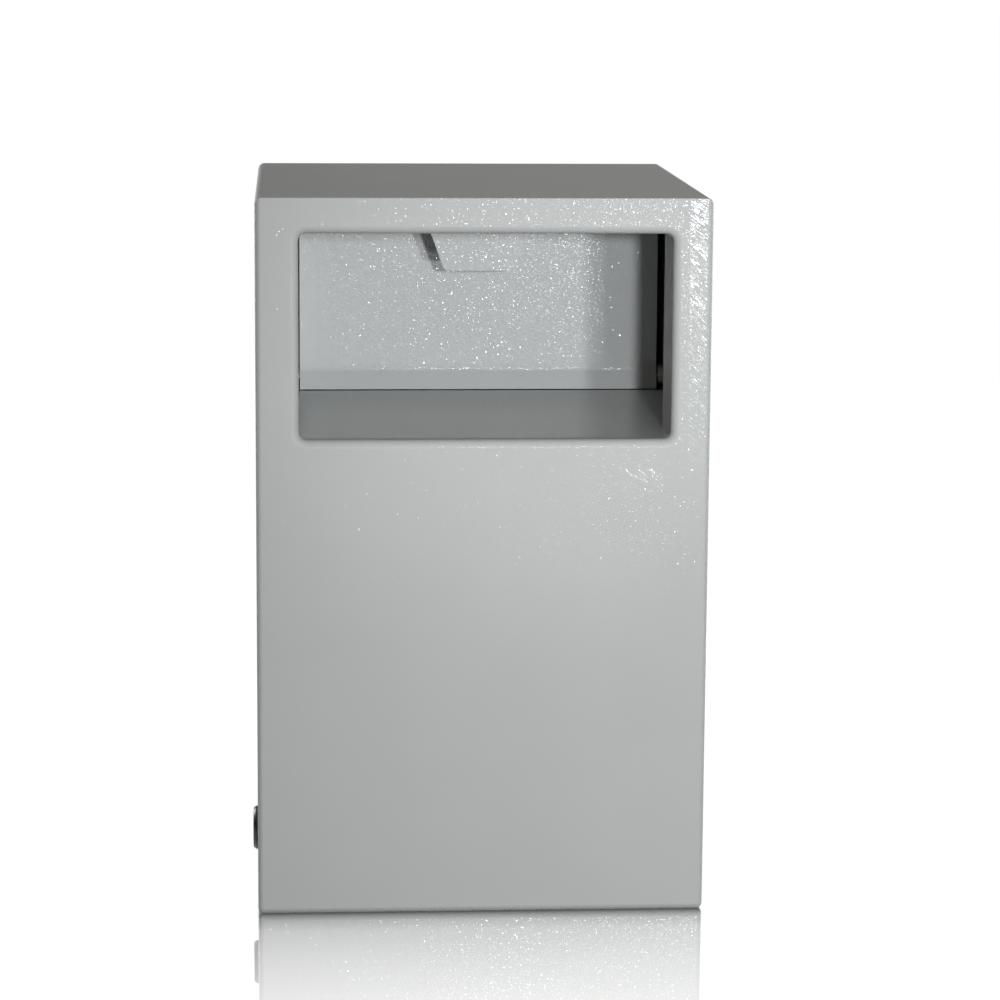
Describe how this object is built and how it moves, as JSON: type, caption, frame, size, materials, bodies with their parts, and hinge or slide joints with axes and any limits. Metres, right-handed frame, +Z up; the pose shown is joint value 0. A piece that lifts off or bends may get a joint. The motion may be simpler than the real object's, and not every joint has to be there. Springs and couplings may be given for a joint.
{
  "type": "deposit safe",
  "caption": "Counter deposit safe: open recess with a sprung tilting flap and pull tab, a scoop behind it, and a bolted lever-handle door on the staff side.",
  "frame": {"origin": "centre of the body's underside", "axes": "+Z up, -Y towards the customer who uses the recess, +X to that customer's right; the staff door is at +Y"},
  "size_m": [0.3843, 0.4285, 0.61],
  "materials": {
    "painted_body": "light grey gloss powder coat with a fine orange peel",
    "painted_flap": "light grey gloss powder coat with a fine orange peel",
    "painted_door": "light grey gloss powder coat with a fine orange peel",
    "zinc_steel": "zinc plated, satin",
    "bright_steel": "nickel-chrome plated, polished",
    "spring_steel": "oiled spring steel",
    "hard_plate": "blued hardened steel",
    "bronze_bush": "turned bronze",
    "black_plastic": "moulded black nylon, satin",
    "black_rubber": "moulded rubber strip"
  },
  "bodies": {
    "safe_body": {"body_wrap": "painted_body", "front_panel": "painted_body", "base_plate": "painted_body", "recess_collar": "painted_body", "deposit_shelf": "painted_body", "left_cheek": "painted_body", "pivot_bush_left": "bronze_bush", "pivot_bush_right": "bronze_bush", "spring_post": "zinc_steel", "return_spring": "spring_steel", "flap_stop": "painted_body", "stop_bumper": "black_rubber", "chute_deflector": "painted_body", "jamb_hinge_side": "painted_body", "jamb_bolt_side": "painted_body", "door_sill": "painted_body", "rear_header": "painted_body", "cable_plug": "black_plastic", "frame_hinge_lower": "painted_body", "frame_hinge_upper": "painted_body", "hinge_pin_lower": "zinc_steel", "hinge_pin_upper": "zinc_steel"},
    "flap": {"flap_plate": "painted_flap", "pull_handle": "painted_flap", "handle_rivet_left": "painted_flap", "handle_rivet_right": "painted_flap", "flap_axle": "zinc_steel", "scoop_baffle": "zinc_steel", "spring_crank": "zinc_steel"},
    "door": {"door_plate": "painted_door", "door_hinge_lower": "painted_door", "door_hinge_upper": "painted_door", "dog_bar": "zinc_steel", "bolt_guide": "zinc_steel", "tail_guide_lower": "zinc_steel", "tail_guide_upper": "zinc_steel", "lock_case": "zinc_steel", "drill_plate": "hard_plate", "key_escutcheon": "bright_steel", "key_cover_rivet": "bright_steel", "handle_rose": "bright_steel", "boltwork_cover": "zinc_steel", "cover_pillar_1": "zinc_steel", "cover_pillar_2": "zinc_steel", "cover_pillar_3": "zinc_steel", "cover_pillar_4": "zinc_steel", "cover_screw_1": "zinc_steel", "cover_screw_2": "zinc_steel", "cover_screw_3": "zinc_steel", "cover_screw_4": "zinc_steel"},
    "bolt_slider": {"bolt_bar": "zinc_steel", "locking_bolt_lower": "bright_steel", "locking_bolt_middle": "bright_steel", "locking_bolt_upper": "bright_steel"},
    "lever": {"handle_lever": "bright_steel", "handle_spindle": "zinc_steel", "bolt_cam": "zinc_steel", "cam_pin": "hard_plate"},
    "key_cover": {"keyhole_cover": "bright_steel"},
    "lock_tongue": {"lock_bolt": "bronze_bush"}
  },
  "joints": [
    {"name": "flap_pivot", "type": "hinge", "parent": "safe_body", "child": "flap", "pos_m": [0, 0.12296, 0.419], "axis": [1, 0, 0], "range_deg": [0, 50], "stiffness_Nm_per_rad": 1.5, "springref_deg": -34.38, "deforming": ["return_spring"]},
    {"name": "door_hinge", "type": "hinge", "parent": "safe_body", "child": "door", "pos_m": [-0.163, 0.20725, 0.1875], "axis": [0, 0, 1], "range_deg": [0, 110]},
    {"name": "handle_turn", "type": "hinge", "parent": "door", "child": "lever", "pos_m": [0.045, 0.2, 0.1875], "axis": [0, 1, 0], "range_deg": [0, 90]},
    {"name": "bolt_slide", "type": "slide", "parent": "door", "child": "bolt_slider", "axis": [1, 0, 0], "range_m": [0, 0.0181]},
    {"name": "key_cover_swing", "type": "hinge", "parent": "door", "child": "key_cover", "pos_m": [0.0735, 0.2045, 0.2735], "axis": [0, 1, 0], "range_deg": [-90, 90]},
    {"name": "lock_throw", "type": "slide", "parent": "door", "child": "lock_tongue", "axis": [0, 0, -1], "range_m": [0, 0.008]}
  ],
  "couplings": [
    {"joint": "bolt_slide", "follows": "handle_turn", "m_per_rad": 0.011459}
  ]
}
